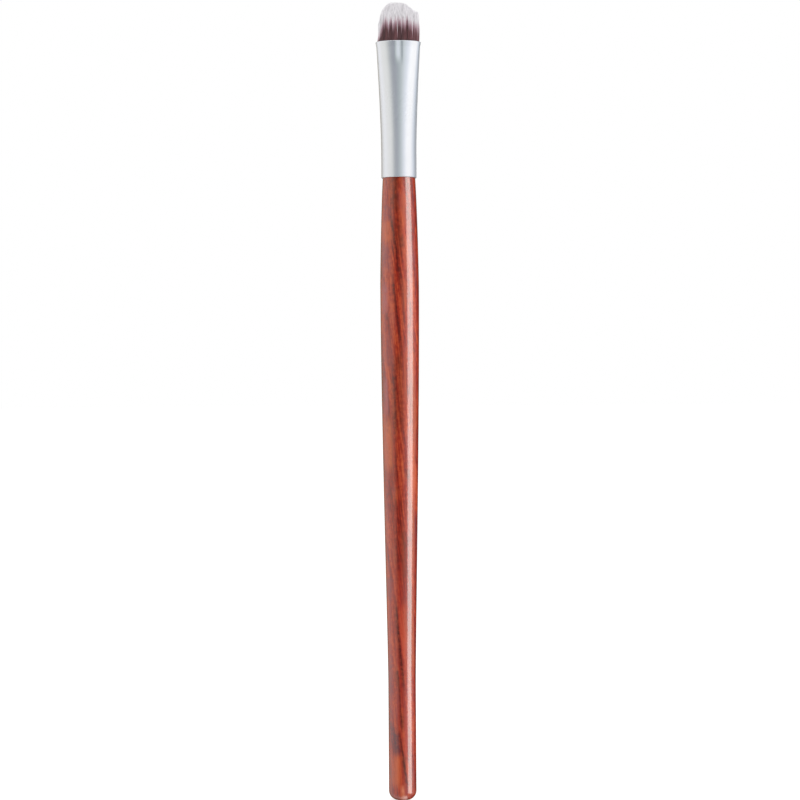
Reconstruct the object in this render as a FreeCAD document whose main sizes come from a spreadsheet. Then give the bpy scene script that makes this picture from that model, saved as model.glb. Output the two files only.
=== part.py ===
import FreeCAD, Part
import Sketcher
import math
import os

# An eyeshadow brush, standing on its butt with the bristles up. The origin is the middle
# of the butt's flat, +Z runs up the handle, X is the wide way across the pressed ferrule
# and Y is the thin way. Millimetres.

doc = FreeCAD.newDocument("EyeshadowBrush")
Vector = FreeCAD.Vector

# Driving sizes: name, value and what is measured
sizes = (
    # Turned wooden handle
    ("handle_length", 132.5, "butt to the shoulder under the ferrule"),
    ("tail_diameter", 5.87, "straight tail at the butt end"),
    ("tail_length", 24.5, "butt to where the swell begins"),
    ("butt_round", 2.0, "radius round the butt's edge"),
    ("belly_diameter", 8.25, "thickest place of the handle"),
    ("belly_drop", 23.1, "thickest place below the shoulder"),
    ("tail_sweep", 8.7, "how far the tail's line reaches into the swell"),
    ("belly_sweep", 28.9, "how far the belly's line reaches down the swell"),
    ("crown_sweep", 2.0, "how far the belly's line reaches up to the neck"),
    ("seat_width", 0.06, "ring of the shoulder that the ferrule's wall stands on"),
    ("neck_run", 6.9, "length of the neck's own taper"),
    ("neck_growth", 0.42, "gain in radius down the neck's own taper"),
    ("nose_length", 3.6, "tapered nose of the tenon, above its straight part"),
    ("nose_taper", 0.4, "loss in radius up the tenon's nose"),
    ("glue_film", 0.1, "glue between the tenon and the ferrule"),
    # Pressed aluminium ferrule
    ("wall", 0.35, "sheet of the ferrule"),
    ("barrel_diameter", 7.5, "outside of the round end"),
    ("barrel_length", 5.5, "round end, before the pressing begins"),
    ("flare_length", 22.5, "stretch that turns from round to oval"),
    ("mouth_width", 9.3, "outside under the lip, the wide way"),
    ("mouth_thickness", 5.4, "outside under the lip, the thin way"),
    ("lip_length", 1.0, "belled lip round the mouth"),
    ("lip_spread", 0.2, "how far the lip leans out on each side"),
    ("edge_round", 0.1, "radius of the sheet's smoothed edges"),
    # Roots of the bristles and the epoxy that sets them
    ("air_gap", 3.0, "tenon's nose to the underside of the epoxy"),
    ("epoxy_floor", 1.4, "epoxy under the root ends"),
    ("epoxy_length", 8.9, "whole depth of the epoxy"),
    ("epoxy_skin", 0.35, "epoxy between the bristles and the ferrule, at its top"),
    ("root_skin", 0.44, "epoxy between the tied roots and the ferrule, at its tightest"),
    ("root_length", 3.0, "straight stretch of the tied roots"),
    ("binding_start", 0.6, "root ends to the first turn of thread"),
    ("thread_diameter", 0.3, "binding thread"),
    # Bristles above the epoxy
    ("bristle_gap", 0.05, "bristles to the inside of the ferrule"),
    ("tuft_height", 8.5, "ferrule's mouth to the bristle tip"),
    ("tuft_width", 8.76, "bristles at their widest"),
    ("tuft_thickness", 5.1, "bristles at their thickest"),
    ("overrun", 0.5, "how far a hollow is cut past its open end"),
)
thread_turns = 5

# The pressing leaves the round barrel gently: its change grows with this power of the height
flare_power = 1.5
flare_shares = (0.25, 0.5, 0.75, 1.0)

# Sections of the tuft: shares of its height, width and thickness, and its lean as a share
# of the width. One shoulder is fuller than the other, so the tip leans towards it.
tuft_shares = (
    (0.2, 0.986, 0.99, 0.0),
    (0.41, 1.0, 1.0, 0.0),
    (0.62, 0.952, 0.87, -0.002),
    (0.765, 0.825, 0.69, -0.012),
    (0.87, 0.652, 0.49, -0.03),
    (0.95, 0.42, 0.29, -0.048),
    (1.0, 0.22, 0.14, -0.065),
)

# Ends of a line or curve, and the sketch's own origin
START, END, CENTRE = 1, 2, 3
ORIGIN = (-1, START)
CUBIC = 3
pole_weight = 1.0
level_tolerance = 1e-4

sheet = doc.addObject("Spreadsheet::Sheet", "Sizes")
for row, (name, value, meaning) in enumerate(sizes, start=1):
    sheet.set(f"A{row}", name)
    sheet.set(f"B{row}", str(value))
    sheet.set(f"C{row}", meaning)
    sheet.setAlias(f"B{row}", name)
doc.recompute()


class Length:
    """A length: its expression on the sheet, and the value that this has now."""

    def __init__(self, text, value):
        self.text = text
        self.value = value

    def __add__(self, other):
        return Length(f"({self.text} + {other.text})", self.value + other.value)

    def __sub__(self, other):
        return Length(f"({self.text} - {other.text})", self.value - other.value)

    def __mul__(self, share):
        return Length(f"{self.text} * {share:.6f}", self.value * share)


def size(name):
    return Length(f"Sizes.{name}", float(sheet.get(name)))


zero = Length("0", 0)


# Heights and diameters that several pieces share
shoulder = size("handle_length")
barrel_top = shoulder + size("barrel_length")
nose_end = barrel_top + size("nose_length")
flare_top = barrel_top + size("flare_length")
mouth = flare_top + size("lip_length")
epoxy_bottom = nose_end + size("air_gap")
epoxy_top = epoxy_bottom + size("epoxy_length")
root_end = epoxy_bottom + size("epoxy_floor")
root_top = root_end + size("root_length")
bore_diameter = size("barrel_diameter") - size("wall") * 2
tenon_diameter = bore_diameter - size("glue_film") * 2
bristle_inset = size("wall") + size("bristle_gap")
epoxy_inset = size("wall") + size("epoxy_skin")
root_inset = size("wall") + size("root_skin")


def pressed(height):
    """Width and thickness outside the ferrule at a height of its flare."""
    climb = f"pow(({height.text} - {barrel_top.text}) / Sizes.flare_length; {flare_power})"
    grown = ((height - barrel_top).value / size("flare_length").value) ** flare_power
    result = []
    for at_mouth in (size("mouth_width"), size("mouth_thickness")):
        change = at_mouth - size("barrel_diameter")
        result.append(size("barrel_diameter") + Length(f"{change.text} * {climb}", change.value * grown))
    return result


def inset_by(sides, depth):
    """A width and a thickness, each taken in by a depth on both sides."""
    return [side - depth * 2 for side in sides]


# The tied roots are round and as thick as the ferrule's thin way lets them be
root_diameter = inset_by(pressed(root_top), root_inset)[1]


# Sketches
def new_body(label):
    body = doc.addObject("PartDesign::Body", label)
    body.Label = label
    return body


def new_sketch(body, name, role, height=None):
    """A sketch on one of the body's own planes, raised along Z where a height is given."""
    sketch = body.newObject("Sketcher::SketchObject", name)
    plane = next(feature for feature in body.Origin.OriginFeatures if feature.Role == role)
    sketch.AttachmentSupport = (plane, [""])
    sketch.MapMode = "FlatFace"
    if height is not None:
        sketch.setExpression("AttachmentOffset.Base.z", height.text)
    return sketch


def hold(sketch, kind, where, length):
    """A dimension of the sketch, bound to the sheet."""
    index = sketch.addConstraint(Sketcher.Constraint(kind, *where, length.value))
    sketch.setExpression(f"Constraints[{index}]", length.text)


def hold_point(sketch, geometry, end, across, up):
    """A point of the sketch, held at its distances from the origin."""
    hold(sketch, "DistanceX", (*ORIGIN, geometry, end), across)
    hold(sketch, "DistanceY", (*ORIGIN, geometry, end), up)


def join(sketch, chain):
    """Ties the end of each line or curve to the start of the next, round to the first."""
    for before, after in zip(chain, chain[1:] + chain[:1]):
        sketch.addConstraint(Sketcher.Constraint("Coincident", before, END, after, START))


def add_line(sketch, start, end):
    points = [Vector(across.value, up.value, 0) for across, up in (start, end)]
    return sketch.addGeometry(Part.LineSegment(*points))


def add_spline(sketch, poles, first_held=0):
    """A cubic curve whose poles, from the first held one on, are held at their places."""
    points = [Vector(across.value, up.value, 0) for across, up in poles]
    curve = sketch.addGeometry(Part.BSplineCurve(points, None, None, False, CUBIC, None, False))
    rings = [Part.Circle(point, Vector(0, 0, 1), pole_weight) for point in points]
    marks = [sketch.addGeometry(ring, True) for ring in rings]
    sketch.addConstraint(Sketcher.Constraint("Weight", marks[0], pole_weight))
    for number, mark in enumerate(marks):
        if number > 0:
            sketch.addConstraint(Sketcher.Constraint("Equal", marks[0], mark))
        pole = ("InternalAlignment:Sketcher::BSplineControlPoint", mark, CENTRE, curve, number)
        sketch.addConstraint(Sketcher.Constraint(*pole))
        if number >= first_held:
            hold_point(sketch, mark, CENTRE, *poles[number])
    return curve


def round_section(body, name, height, *diameters):
    """A level sketch of circles round the brush's axis."""
    sketch = new_sketch(body, name, "XY_Plane", height)
    for diameter in diameters:
        circle = Part.Circle(Vector(0, 0, 0), Vector(0, 0, 1), diameter.value / 2)
        index = sketch.addGeometry(circle)
        sketch.addConstraint(Sketcher.Constraint("Coincident", index, CENTRE, *ORIGIN))
        hold(sketch, "Diameter", (index,), diameter)
    return sketch


def oval_section(body, name, height, sides, lean=None):
    """A level sketch of one ellipse, its long way on X, moved along X where it leans."""
    sketch = new_sketch(body, name, "XY_Plane", height)
    if lean is not None:
        sketch.setExpression("AttachmentOffset.Base.x", lean.text)
    width, thickness = sides
    ends = Vector(width.value / 2, 0, 0), Vector(0, thickness.value / 2, 0)
    oval = sketch.addGeometry(Part.Ellipse(*ends, Vector(0, 0, 0)))
    sketch.exposeInternalGeometry(oval)
    long_axis, short_axis = oval + 1, oval + 2
    sketch.addConstraint(Sketcher.Constraint("Coincident", oval, CENTRE, *ORIGIN))
    sketch.addConstraint(Sketcher.Constraint("Horizontal", long_axis))
    hold(sketch, "Distance", (long_axis,), width)
    hold(sketch, "Distance", (short_axis,), thickness)
    return sketch


# Features
def extrude(sketch, kind, length):
    """A Pad, which goes up from the sketch, or a Pocket, which goes down from it."""
    body = sketch.getParentGeoFeatureGroup()
    feature = body.newObject(f"PartDesign::{kind}", sketch.Name + kind)
    feature.Profile = sketch
    feature.setExpression("Length", length.text)


def loft(sections, kind="Additive"):
    """A smooth skin over the sections, added to the body or taken out of it."""
    body = sections[0].getParentGeoFeatureGroup()
    feature = body.newObject(f"PartDesign::{kind}Loft", sections[0].Name + "Loft")
    feature.Profile = sections[0]
    feature.Sections = sections[1:]


def turn(profile):
    """The profile turned once round the brush's axis."""
    body = profile.getParentGeoFeatureGroup()
    feature = body.newObject("PartDesign::Revolution", profile.Name + "Turned")
    feature.Profile = profile
    feature.ReferenceAxis = (profile, ["V_Axis"])


def rims(shape, height):
    """Names of the level edges at a height, the widest first."""
    found = []
    for number, edge in enumerate(shape.Edges, start=1):
        box = edge.BoundBox
        is_level = box.ZLength < level_tolerance and abs(box.ZMin - height.value) < level_tolerance
        if is_level:
            found.append((box.XLength, f"Edge{number}"))
    return [name for _, name in sorted(found, reverse=True)]


def round_edges(body, name, pick, radius):
    """Rounds the edges that pick() chooses on the body as it is so far."""
    doc.recompute()
    base = body.Tip
    feature = body.newObject("PartDesign::Fillet", name)
    feature.Base = (base, pick(base.Shape))
    feature.setExpression("Radius", radius.text)


# Handle: turned wood, a tail that swells to a belly, a neck, and a tenon inside the ferrule
def make_handle():
    body = new_body("handle")
    profile = new_sketch(body, "HandleProfile", "XZ_Plane")
    tail_radius = size("tail_diameter") * 0.5
    belly_radius = size("belly_diameter") * 0.5
    neck_radius = bore_diameter * 0.5 + size("seat_width")
    tenon_radius = tenon_diameter * 0.5
    nose_radius = tenon_radius - size("nose_taper")
    belly_height = shoulder - size("belly_drop")

    swell = add_spline(profile, (
        (tail_radius, size("tail_length")),
        (tail_radius, size("tail_length") + size("tail_sweep")),
        (belly_radius, belly_height - size("belly_sweep")),
        (belly_radius, belly_height),
    ))
    crown = add_spline(profile, (
        (belly_radius, belly_height),
        (belly_radius, belly_height + size("crown_sweep")),
        (neck_radius + size("neck_growth"), shoulder - size("neck_run")),
        (neck_radius, shoulder),
    ), first_held=1)

    corners = (
        (neck_radius, shoulder),
        (tenon_radius, shoulder),
        (tenon_radius, barrel_top),
        (nose_radius, nose_end),
    )
    tenon = [add_line(profile, start, end) for start, end in zip(corners, corners[1:])]
    for line, corner in zip(tenon, corners[1:]):
        hold_point(profile, line, END, *corner)

    nose_flat = add_line(profile, corners[-1], (zero, nose_end))
    axis = add_line(profile, (zero, nose_end), (zero, zero))
    butt = add_line(profile, (zero, zero), (tail_radius, zero))
    tail = add_line(profile, (tail_radius, zero), (tail_radius, size("tail_length")))
    join(profile, [swell, crown, *tenon, nose_flat, axis, butt, tail])
    profile.addConstraint(Sketcher.Constraint("Coincident", axis, END, *ORIGIN))
    for line in (nose_flat, butt):
        profile.addConstraint(Sketcher.Constraint("Horizontal", line))
    for line in (axis, tail):
        profile.addConstraint(Sketcher.Constraint("Vertical", line))

    turn(profile)
    round_edges(body, "ButtRound", lambda shape: rims(shape, zero)[:1], size("butt_round"))
    return body


# Ferrule: a seamless aluminium tube, round on the tenon and pressed oval round the bristles
def flare_sections(body, name, inset):
    """Sections up the flare, taken in from the ferrule's outside."""
    foot = round_section(body, name + "Foot", barrel_top, size("barrel_diameter") - inset * 2)
    sections = [foot]
    for number, share in enumerate(flare_shares, start=1):
        height = barrel_top + size("flare_length") * share
        sides = inset_by(pressed(height), inset)
        sections.append(oval_section(body, f"{name}Oval{number}", height, sides))
    return sections


def lip_sides(inset):
    """Width and thickness at the mouth, taken in from the lip's outside."""
    return inset_by((size("mouth_width"), size("mouth_thickness")), inset - size("lip_spread"))


def make_ferrule():
    body = new_body("ferrule")
    barrel = round_section(body, "Barrel", shoulder, size("barrel_diameter"))
    extrude(barrel, "Pad", size("barrel_length"))
    loft(flare_sections(body, "Outside", zero))
    lip_foot = oval_section(body, "LipFoot", flare_top, pressed(flare_top))
    lip_top = oval_section(body, "LipTop", mouth, lip_sides(zero))
    loft([lip_foot, lip_top])

    bore = round_section(body, "Bore", barrel_top, bore_diameter)
    extrude(bore, "Pocket", size("barrel_length") + size("overrun"))
    loft(flare_sections(body, "Inside", size("wall")), "Subtractive")
    throat_foot = oval_section(body, "ThroatFoot", flare_top, inset_by(pressed(flare_top), size("wall")))
    throat_top = oval_section(body, "ThroatTop", mouth, lip_sides(size("wall")))
    loft([throat_foot, throat_top], "Subtractive")

    def sheet_edges(shape):
        return rims(shape, shoulder)[:1] + rims(shape, mouth)

    round_edges(body, "SheetEdges", sheet_edges, size("edge_round"))
    return body


# Glue film: a thin sleeve between the tenon and the ferrule's round barrel
def make_tenon_glue():
    body = new_body("tenon_glue")
    film = round_section(body, "Film", shoulder, bore_diameter, tenon_diameter)
    extrude(film, "Pad", size("barrel_length"))
    return body


# Bristles: tied round at the roots, spread to the ferrule's oval, domed at the tip
def make_bristle_tuft():
    body = new_body("bristle_tuft")
    extrude(round_section(body, "Roots", root_end, root_diameter), "Pad", size("root_length"))

    halfway = (epoxy_top + flare_top) * 0.5
    halfway_inset = (epoxy_inset + bristle_inset) * 0.5
    spread = [round_section(body, "Spread", root_top, root_diameter)]
    for number, (height, inset) in enumerate((
        (epoxy_top, epoxy_inset),
        (halfway, halfway_inset),
        (flare_top, bristle_inset),
    ), start=1):
        spread.append(oval_section(body, f"SpreadOval{number}", height, inset_by(pressed(height), inset)))
    spread.append(oval_section(body, "SpreadTop", mouth, lip_sides(bristle_inset)))
    loft(spread)

    shown = [oval_section(body, "Shown", mouth, lip_sides(bristle_inset))]
    for number, (up, across, through, lean) in enumerate(tuft_shares, start=1):
        height = mouth + size("tuft_height") * up
        sides = size("tuft_width") * across, size("tuft_thickness") * through
        shown.append(oval_section(body, f"ShownOval{number}", height, sides, size("tuft_width") * lean))
    loft(shown)
    return body


# Root binding: turns of waxed thread laid side by side round the tied roots
def make_root_binding():
    body = new_body("root_binding")
    profile = new_sketch(body, "BindingProfile", "XZ_Plane")
    thread = size("thread_diameter")
    root_radius = root_diameter * 0.5
    thread_middle = root_radius + thread * 0.5
    foot = root_end + size("binding_start")
    head = foot + thread * thread_turns
    quarter_turn = math.pi / 2

    turns = []
    for number in range(thread_turns):
        height = foot + thread * (number + 0.5)
        centre = Vector(thread_middle.value, height.value, 0)
        ring = Part.Circle(centre, Vector(0, 0, 1), thread.value / 2)
        arc = profile.addGeometry(Part.ArcOfCircle(ring, -quarter_turn, quarter_turn))
        hold_point(profile, arc, CENTRE, thread_middle, height)
        profile.addConstraint(Sketcher.Constraint("Vertical", arc, START, arc, END))
        turns.append(arc)

    head_line = add_line(profile, (thread_middle, head), (root_radius, head))
    inner = add_line(profile, (root_radius, head), (root_radius, foot))
    foot_line = add_line(profile, (root_radius, foot), (thread_middle, foot))
    join(profile, [*turns, head_line, inner, foot_line])
    hold_point(profile, foot_line, START, root_radius, foot)
    hold(profile, "DistanceX", (*ORIGIN, foot_line, END), thread_middle)
    for line in (head_line, foot_line):
        profile.addConstraint(Sketcher.Constraint("Horizontal", line))
    profile.addConstraint(Sketcher.Constraint("Vertical", inner))
    turn(profile)
    return body


# Root plug: epoxy cast round the tied roots, filling the ferrule from wall to wall
def make_root_plug(tuft, binding):
    hollow = new_body("ferrule_hollow")
    loft(flare_sections(hollow, "Hollow", size("wall")))

    depth = doc.addObject("Part::Cylinder", "epoxy_depth")
    depth.setExpression("Radius", size("mouth_width").text)
    depth.setExpression("Height", size("epoxy_length").text)
    depth.setExpression("Placement.Base.z", epoxy_bottom.text)

    poured = doc.addObject("Part::Common", "epoxy_poured")
    poured.Base = hollow
    poured.Tool = depth
    around_roots = doc.addObject("Part::Cut", "epoxy_round_roots")
    around_roots.Base = poured
    around_roots.Tool = tuft
    plug = doc.addObject("Part::Cut", "root_plug")
    plug.Label = "root_plug"
    plug.Base = around_roots
    plug.Tool = binding
    return plug


tuft = make_bristle_tuft()
binding = make_root_binding()
pieces = [
    make_handle(),
    make_ferrule(),
    make_tenon_glue(),
    tuft,
    binding,
    make_root_plug(tuft, binding),
]
doc.recompute()

# Everything is sound before anything is written
for item in doc.Objects:
    if "Invalid" in item.State or "Error" in item.State:
        raise RuntimeError(f"{item.Label} did not recompute: {item.State}")
for piece in pieces:
    if piece.Shape.isNull() or not piece.Shape.isValid() or len(piece.Shape.Solids) != 1:
        raise RuntimeError(f"{piece.Label} is not one sound solid")

os.makedirs("parts", exist_ok=True)
for piece in pieces:
    piece.Shape.exportStep(f"parts/{piece.Label}.step")
    print(f"{piece.Label}: {piece.Shape.Volume:.1f} cubic millimetres")
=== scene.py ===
import math
import bmesh
import bpy
from mathutils import Matrix, Vector


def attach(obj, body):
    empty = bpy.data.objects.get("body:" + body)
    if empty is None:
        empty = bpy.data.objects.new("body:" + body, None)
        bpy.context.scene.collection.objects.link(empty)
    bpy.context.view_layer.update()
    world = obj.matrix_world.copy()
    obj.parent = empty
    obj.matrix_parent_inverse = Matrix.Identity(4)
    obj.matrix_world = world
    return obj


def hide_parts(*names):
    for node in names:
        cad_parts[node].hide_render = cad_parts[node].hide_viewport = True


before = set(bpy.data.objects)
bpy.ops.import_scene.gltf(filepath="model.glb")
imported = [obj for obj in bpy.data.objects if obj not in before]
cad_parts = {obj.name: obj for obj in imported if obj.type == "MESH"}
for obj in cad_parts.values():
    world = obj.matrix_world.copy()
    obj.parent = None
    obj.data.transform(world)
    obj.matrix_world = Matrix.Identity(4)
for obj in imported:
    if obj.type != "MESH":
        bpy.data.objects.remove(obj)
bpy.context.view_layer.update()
scene = bpy.context.scene
scene.view_settings.view_transform = "Standard"
print("frame loaded")

# The brush is built in millimetres and finished in metres; the studio is in metres throughout.
millimetre = 0.001
toMetres = Matrix.Scale(millimetre, 4)
mergeDistance = 0.0005  # in millimetres


def addNode(tree, kind, inputs=None, **settings):
    made = tree.nodes.new(kind)
    for name, value in settings.items():
        setattr(made, name, value)
    for name, value in (inputs or {}).items():
        feed(tree, made.inputs[name], value)
    return made


def feed(tree, socket, value):  # a socket is linked, anything else is set
    if isinstance(value, bpy.types.NodeSocket):
        tree.links.new(value, socket)
    else:
        socket.default_value = value


def calc(tree, operation, *values, **settings):
    made = addNode(tree, "ShaderNodeMath", operation=operation, **settings)
    for socket, value in zip(made.inputs, values):
        feed(tree, socket, value)
    return made.outputs[0]


def stretch(tree, value, low, high, newLow=0.0, newHigh=1.0, smooth=False):
    made = addNode(tree, "ShaderNodeMapRange", interpolation_type="SMOOTHSTEP" if smooth else "LINEAR")
    for socket, item in zip(made.inputs, (value, low, high, newLow, newHigh)):
        feed(tree, socket, item)
    return made.outputs[0]


def splitOf(tree, vector):
    return addNode(tree, "ShaderNodeSeparateXYZ", {"Vector": vector}).outputs


def joinOf(tree, x, y, z):
    return addNode(tree, "ShaderNodeCombineXYZ", {"X": x, "Y": y, "Z": z}).outputs[0]


def curveOf(tree, value, points):  # a curve through its given points, from left to right
    made = addNode(tree, "ShaderNodeFloatCurve", {"Value": value})
    line = made.mapping.curves[0]
    while len(line.points) < len(points):
        line.points.new(0.5, 0.5)
    for point, place in zip(line.points, points):
        point.location = place
        point.handle_type = "AUTO_CLAMPED"
    made.mapping.update()
    return made.outputs[0]


def rampOf(tree, value, stops):
    made = addNode(tree, "ShaderNodeValToRGB", {"Fac": value})
    ramp = made.color_ramp
    while len(ramp.elements) < len(stops):
        ramp.elements.new(0.5)
    for element, (place, colour) in zip(ramp.elements, stops):
        element.position = place
        element.color = (*colour, 1.0)
    return made.outputs["Color"]


def mixColours(tree, amount, first, second, blend="MIX"):
    made = addNode(tree, "ShaderNodeMix", data_type="RGBA", blend_type=blend)
    feed(tree, made.inputs[0], amount)
    for socket, value in ((made.inputs[6], first), (made.inputs[7], second)):
        feed(tree, socket, value if isinstance(value, bpy.types.NodeSocket) else (*value, 1.0))
    return made.outputs[2]


def bumpOf(tree, height, distance, strength, under=None):  # under: the normal that this relief lies on
    made = addNode(tree, "ShaderNodeBump", {"Height": height, "Distance": distance * millimetre,
                                            "Strength": strength})
    if under is not None:
        feed(tree, made.inputs["Normal"], under)
    return made.outputs["Normal"]


def newTree(name, kind, inputs, outputs):
    tree = bpy.data.node_groups.new(name, kind)
    for direction, sockets in (("INPUT", inputs), ("OUTPUT", outputs)):
        for label, socketKind in sockets.items():
            tree.interface.new_socket(label, in_out=direction, socket_type="NodeSocket" + socketKind)
    return tree, addNode(tree, "NodeGroupInput").outputs, addNode(tree, "NodeGroupOutput").inputs


def realWithMaterial(tree, geometry, material):  # the end of every geometry tree
    real = addNode(tree, "GeometryNodeRealizeInstances", {"Geometry": geometry})
    painted = addNode(tree, "GeometryNodeSetMaterial", {"Geometry": real.outputs[0], "Material": material})
    return painted.outputs[0]


def newMaterial(name, **finish):
    made = bpy.data.materials.new(name)
    made.use_nodes = True
    tree = made.node_tree
    shader = tree.nodes["Principled BSDF"]
    for label, value in finish.items():
        shader.inputs[label].default_value = value
    place = addNode(tree, "ShaderNodeTexCoord").outputs["Object"]
    return made, tree, shader.inputs, place


def newPiece(name, data):
    piece = bpy.data.objects.new(name, data)
    scene.collection.objects.link(piece)
    return piece


def settle(piece):  # the evaluated shape becomes the piece's own plain mesh
    depsgraph = bpy.context.evaluated_depsgraph_get()
    shape = bpy.data.meshes.new_from_object(piece.evaluated_get(depsgraph), preserve_all_data_layers=True,
                                            depsgraph=depsgraph)
    name = piece.name
    bpy.data.objects.remove(piece)
    shape.name = name
    return newPiece(name, shape)


def growFromNodes(name, tree, values):
    piece = newPiece(name, bpy.data.meshes.new(name))
    modifier = piece.modifiers.new("grow", "NODES")
    modifier.node_group = tree
    for item in tree.interface.items_tree:
        if item.name in values:
            modifier[item.identifier] = values[item.name]
    return settle(piece)


def finishMesh(piece, sharpAngle, material=None):  # faces outwards, smooth shading, metres
    shape = bmesh.new()
    shape.from_mesh(piece.data)
    bmesh.ops.remove_doubles(shape, verts=shape.verts, dist=mergeDistance)
    bmesh.ops.recalc_face_normals(shape, faces=shape.faces)
    shape.to_mesh(piece.data)
    shape.free()
    piece.data.shade_smooth()
    piece.data.set_sharp_from_angle(angle=math.radians(sharpAngle))
    piece.data.transform(toMetres)
    if material:
        piece.data.materials.clear()
        piece.data.materials.append(material)


# camera, white room and floor
studio = {
    "cameraPlace": (-0.000076, -0.5, 0.0852), "cameraRoll": 0.355,
    "lens": 105.5, "sensor": 36.0, "nearest": 0.01,
    "ambient": 0.85, "floorRadius": 30.0, "floorSides": 96,
    "floorGlow": 0.8, "floorShade": 0.36,  # what the camera sees
    "floorBounce": 0.8,  # what lights the brush from below
}


def makeCamera():
    lens = bpy.data.cameras.new("camera")
    lens.lens = studio["lens"]
    lens.sensor_width = studio["sensor"]
    lens.clip_start = studio["nearest"]
    camera = newPiece("camera", lens)
    camera.location = studio["cameraPlace"]
    camera.rotation_euler = (math.radians(90), math.radians(studio["cameraRoll"]), 0)
    scene.camera = camera


def seenByLens(tree):  # 1 for camera, mirror and see-through rays, 0 for the rays that carry light
    path = addNode(tree, "ShaderNodeLightPath").outputs
    seen = calc(tree, "ADD", path["Is Camera Ray"], path["Is Glossy Ray"])
    return calc(tree, "ADD", seen, path["Is Transmission Ray"], use_clamp=True)


def makeWorld():
    world = bpy.data.worlds.new("whiteStudio")
    world.use_nodes = True
    scene.world = world
    tree = world.node_tree
    strength = stretch(tree, seenByLens(tree), 0, 1, studio["ambient"], 1.0)
    feed(tree, tree.nodes["Background"].inputs["Strength"], strength)
    tree.nodes["Background"].inputs["Color"].default_value = (1, 1, 1, 1)


def plainPaper(tree, shade):
    return addNode(tree, "ShaderNodeBsdfDiffuse", {"Color": (shade, shade, shade, 1.0)}).outputs[0]


def makeFloor():
    paper = bpy.data.materials.new("whitePaper")
    paper.use_nodes = True
    tree = paper.node_tree
    tree.nodes.clear()
    glow = addNode(tree, "ShaderNodeEmission", {"Strength": studio["floorGlow"]})
    shown = addNode(tree, "ShaderNodeAddShader")  # the glow makes it white, and the paper takes the shadow
    feed(tree, shown.inputs[0], glow.outputs[0])
    feed(tree, shown.inputs[1], plainPaper(tree, studio["floorShade"]))
    either = addNode(tree, "ShaderNodeMixShader", {"Fac": seenByLens(tree)})
    feed(tree, either.inputs[1], plainPaper(tree, studio["floorBounce"]))
    feed(tree, either.inputs[2], shown.outputs[0])
    feed(tree, addNode(tree, "ShaderNodeOutputMaterial").inputs["Surface"], either.outputs[0])
    sheet = bmesh.new()
    bmesh.ops.create_circle(sheet, cap_ends=True, segments=studio["floorSides"], radius=studio["floorRadius"])
    mesh = bpy.data.meshes.new("floor")
    sheet.to_mesh(mesh)
    sheet.free()
    mesh.materials.append(paper)
    made = newPiece("floor", mesh)
    made.visible_glossy = False  # the lacquer mirrors the lamp and the white room down to the butt
    made.visible_shadow = False
    return made


# the cloth tent round the brush that only reflections see: its tones by the angle round the brush,
# from straight behind (-180) past its left (-90) and the camera (0) to its right (90)
tent = {
    "radius": 0.9, "bottom": -2.2, "top": 1.1, "sides": 72, "softEdge": 0.06,
    "tones": (
        (-180, (0.02, 0.00, 0.00)), (-170, (0.08, 0.04, 0.00)), (-160, (0.18, 0.12, 0.03)),
        (-150, (0.34, 0.27, 0.16)), (-140, (0.53, 0.47, 0.38)), (-130, (0.73, 0.67, 0.60)),
        (-120, (0.94, 0.88, 0.83)), (-110, (1.09, 1.03, 0.98)), (-100, (1.18, 1.12, 1.08)),
        (-90, (1.16, 1.09, 1.05)), (-80, (1.09, 1.02, 0.95)), (-70, (1.03, 0.96, 0.86)),
        (-50, (0.96, 0.90, 0.80)), (-40, (0.72, 0.68, 0.58)), (-30, (0.19, 0.20, 0.20)),
        (-20, (0.00, 0.00, 0.03)), (-10, (0.00, 0.00, 0.05)), (0, (0.05, 0.10, 0.09)),
        (10, (0.19, 0.24, 0.20)), (20, (0.46, 0.49, 0.46)), (30, (0.69, 0.70, 0.75)),
        (40, (0.75, 0.72, 0.76)), (50, (0.79, 0.70, 0.62)), (80, (0.77, 0.66, 0.57)),
        (90, (0.78, 0.72, 0.69)), (100, (0.65, 0.66, 0.70)), (110, (0.39, 0.43, 0.49)),
        (120, (0.08, 0.11, 0.16)), (130, (0.00, 0.00, 0.00)), (150, (0.08, 0.08, 0.07)),
        (180, (0.02, 0.00, 0.00)),
    ),
}


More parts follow.
